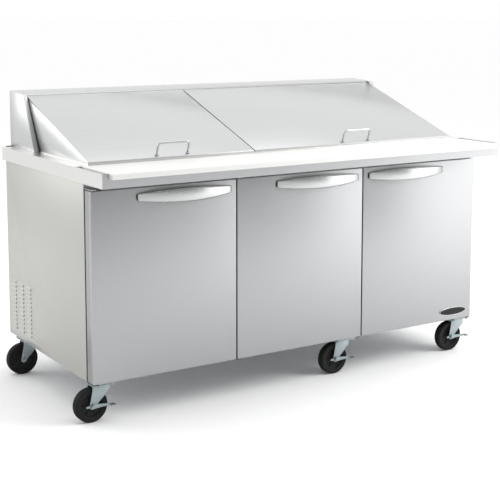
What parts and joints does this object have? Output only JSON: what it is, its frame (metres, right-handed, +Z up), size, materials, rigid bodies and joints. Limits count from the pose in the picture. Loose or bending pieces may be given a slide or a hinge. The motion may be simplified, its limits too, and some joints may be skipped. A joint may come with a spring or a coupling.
{
  "type": "sandwich prep table",
  "caption": "Refrigerated stainless steel prep counter on casters, with doors under a cutting board, a pan well below sloping hinged lids, and a rear hood.",
  "frame": {"origin": "on the floor below the middle of the table's bounding box, which takes in the wheels that trail past the left end", "axes": "+Z up, +X along the front from the left end to the right end as a cook at the front sees it, +Y from the front to the back"},
  "size_m": [1.8776, 0.993, 1.162],
  "materials": {
    "side_panel_steel": "satin",
    "galvanised_steel": "satin",
    "foam": "matte",
    "liner_aluminium": "satin",
    "frame_steel": "satin",
    "worktop_steel": "satin",
    "hood_steel": "satin",
    "compressor_enamel": "satin",
    "condenser_fins": "satin",
    "fan_plastic": "matte",
    "evaporator_plastic": "matte",
    "shelf_wire": "polished",
    "bracket_enamel": "satin",
    "gland_plastic": "matte",
    "cutting_board": "matte",
    "door_steel": "satin",
    "door_panel_plastic": "matte",
    "gasket_rubber": "matte",
    "handle_steel": "satin",
    "badge_plastic": "gloss",
    "lid_steel": "satin",
    "lid_panel_plastic": "matte",
    "bail_chrome": "polished",
    "caster_zinc": "satin",
    "caster_rubber": "matte"
  },
  "bodies": {
    "cabinet": {"left_side_panel": "side_panel_steel", "right_side_panel": "side_panel_steel", "rear_panel": "galvanised_steel", "base_pan": "galvanised_steel", "caster_rail_left": "galvanised_steel", "caster_rail_middle": "galvanised_steel", "caster_rail_right": "galvanised_steel", "foam_insulation": "foam", "inner_liner": "liner_aluminium", "face_frame": "frame_steel", "worktop": "worktop_steel", "pan_support_bar": "worktop_steel", "rear_hood": "hood_steel", "compressor": "compressor_enamel", "condenser_coil": "condenser_fins", "evaporator_housing": "evaporator_plastic", "shelf_1": "shelf_wire", "shelf_2": "shelf_wire", "shelf_3": "shelf_wire", "door_1_hinge_bracket": "bracket_enamel", "door_2_hinge_bracket": "bracket_enamel", "door_3_hinge_bracket": "bracket_enamel", "cord_inlet": "gland_plastic"},
    "door_1": {"door_1_skin": "door_steel", "door_1_inner_panel": "door_panel_plastic", "door_1_gasket": "gasket_rubber", "door_1_handle": "handle_steel"},
    "door_2": {"door_2_skin": "door_steel", "door_2_inner_panel": "door_panel_plastic", "door_2_gasket": "gasket_rubber", "door_2_handle": "handle_steel"},
    "door_3": {"door_3_skin": "door_steel", "door_3_inner_panel": "door_panel_plastic", "door_3_gasket": "gasket_rubber", "door_3_handle": "handle_steel", "badge_plate": "badge_plastic"},
    "lid_left": {"lid_left_shell": "lid_steel", "lid_left_inner_panel": "lid_panel_plastic", "lid_left_handle": "bail_chrome"},
    "lid_right": {"lid_right_shell": "lid_steel", "lid_right_inner_panel": "lid_panel_plastic", "lid_right_handle": "bail_chrome"},
    "cutting_board": {"cutting_board": "cutting_board"},
    "condenser_fan": {"condenser_fan": "fan_plastic"},
    "evaporator_fan": {"evaporator_fan": "fan_plastic"},
    "caster_front_left_fork": {"caster_front_left_fork": "caster_zinc"},
    "caster_front_left_wheel": {"caster_front_left_wheel": "caster_rubber"},
    "caster_front_left_brake": {"caster_front_left_brake_lever": "caster_zinc"},
    "caster_rear_left_fork": {"caster_rear_left_fork": "caster_zinc"},
    "caster_rear_left_wheel": {"caster_rear_left_wheel": "caster_rubber"},
    "caster_front_middle_fork": {"caster_front_middle_fork": "caster_zinc"},
    "caster_front_middle_wheel": {"caster_front_middle_wheel": "caster_rubber"},
    "caster_front_middle_brake": {"caster_front_middle_brake_lever": "caster_zinc"},
    "caster_rear_middle_fork": {"caster_rear_middle_fork": "caster_zinc"},
    "caster_rear_middle_wheel": {"caster_rear_middle_wheel": "caster_rubber"},
    "caster_front_right_fork": {"caster_front_right_fork": "caster_zinc"},
    "caster_front_right_wheel": {"caster_front_right_wheel": "caster_rubber"},
    "caster_front_right_brake": {"caster_front_right_brake_lever": "caster_zinc"},
    "caster_rear_right_fork": {"caster_rear_right_fork": "caster_zinc"},
    "caster_rear_right_wheel": {"caster_rear_right_wheel": "caster_rubber"}
  },
  "joints": [
    {"name": "door_1_hinge", "type": "hinge", "parent": "cabinet", "child": "door_1", "pos_m": [-0.87225, -0.3315, 0.15], "axis": [0, 0, -1], "range_deg": [0, 110]},
    {"name": "door_2_hinge", "type": "hinge", "parent": "cabinet", "child": "door_2", "pos_m": [-0.26775, -0.3315, 0.15], "axis": [0, 0, -1], "range_deg": [0, 110]},
    {"name": "door_3_hinge", "type": "hinge", "parent": "cabinet", "child": "door_3", "pos_m": [0.91375, -0.3315, 0.15], "axis": [0, 0, 1], "range_deg": [0, 110]},
    {"name": "lid_left_hinge", "type": "hinge", "parent": "cabinet", "child": "lid_left", "pos_m": [-0.48625, 0.35, 1.1405], "axis": [-1, 0, 0], "range_deg": [0, 110]},
    {"name": "lid_right_hinge", "type": "hinge", "parent": "cabinet", "child": "lid_right", "pos_m": [0.37675, 0.35, 1.1405], "axis": [-1, 0, 0], "range_deg": [0, 110]},
    {"name": "cutting_board_lift", "type": "slide", "parent": "cabinet", "child": "cutting_board", "axis": [0, 0, 1], "range_m": [0, 0.15]},
    {"name": "condenser_fan_spin", "type": "hinge", "parent": "cabinet", "child": "condenser_fan", "pos_m": [-0.80225, 0.355, 0.268], "axis": [1, 0, 0], "continuous": true},
    {"name": "evaporator_fan_spin", "type": "hinge", "parent": "cabinet", "child": "evaporator_fan", "pos_m": [0.18075, 0.388, 0.71], "axis": [0, 1, 0], "continuous": true},
    {"name": "caster_front_left_swivel", "type": "hinge", "parent": "cabinet", "child": "caster_front_left_fork", "pos_m": [-0.83725, -0.29, 0.1453], "axis": [0, 0, 1], "continuous": true},
    {"name": "caster_front_left_roll", "type": "hinge", "parent": "caster_front_left_fork", "child": "caster_front_left_wheel", "pos_m": [-0.87525, -0.29, 0.0635], "axis": [0, 1, 0], "continuous": true},
    {"name": "caster_front_left_brake_press", "type": "hinge", "parent": "caster_front_left_fork", "child": "caster_front_left_brake", "pos_m": [-0.87525, -0.29, 0.0635], "axis": [0, 1, 0], "range_deg": [-2, 14]},
    {"name": "caster_rear_left_swivel", "type": "hinge", "parent": "cabinet", "child": "caster_rear_left_fork", "pos_m": [-0.83725, 0.385, 0.1453], "axis": [0, 0, 1], "continuous": true},
    {"name": "caster_rear_left_roll", "type": "hinge", "parent": "caster_rear_left_fork", "child": "caster_rear_left_wheel", "pos_m": [-0.87525, 0.385, 0.0635], "axis": [0, 1, 0], "continuous": true},
    {"name": "caster_front_middle_swivel", "type": "hinge", "parent": "cabinet", "child": "caster_front_middle_fork", "pos_m": [0.24975, -0.29, 0.1453], "axis": [0, 0, 1], "continuous": true},
    {"name": "caster_front_middle_roll", "type": "hinge", "parent": "caster_front_middle_fork", "child": "caster_front_middle_wheel", "pos_m": [0.21175, -0.29, 0.0635], "axis": [0, 1, 0], "continuous": true},
    {"name": "caster_front_middle_brake_press", "type": "hinge", "parent": "caster_front_middle_fork", "child": "caster_front_middle_brake", "pos_m": [0.21175, -0.29, 0.0635], "axis": [0, 1, 0], "range_deg": [-2, 14]},
    {"name": "caster_rear_middle_swivel", "type": "hinge", "parent": "cabinet", "child": "caster_rear_middle_fork", "pos_m": [0.24975, 0.385, 0.1453], "axis": [0, 0, 1], "continuous": true},
    {"name": "caster_rear_middle_roll", "type": "hinge", "parent": "caster_rear_middle_fork", "child": "caster_rear_middle_wheel", "pos_m": [0.21175, 0.385, 0.0635], "axis": [0, 1, 0], "continuous": true},
    {"name": "caster_front_right_swivel", "type": "hinge", "parent": "cabinet", "child": "caster_front_right_fork", "pos_m": [0.87875, -0.29, 0.1453], "axis": [0, 0, 1], "continuous": true},
    {"name": "caster_front_right_roll", "type": "hinge", "parent": "caster_front_right_fork", "child": "caster_front_right_wheel", "pos_m": [0.84075, -0.29, 0.0635], "axis": [0, 1, 0], "continuous": true},
    {"name": "caster_front_right_brake_press", "type": "hinge", "parent": "caster_front_right_fork", "child": "caster_front_right_brake", "pos_m": [0.84075, -0.29, 0.0635], "axis": [0, 1, 0], "range_deg": [-2, 14]},
    {"name": "caster_rear_right_swivel", "type": "hinge", "parent": "cabinet", "child": "caster_rear_right_fork", "pos_m": [0.87875, 0.385, 0.1453], "axis": [0, 0, 1], "continuous": true},
    {"name": "caster_rear_right_roll", "type": "hinge", "parent": "caster_rear_right_fork", "child": "caster_rear_right_wheel", "pos_m": [0.84075, 0.385, 0.0635], "axis": [0, 1, 0], "continuous": true}
  ]
}
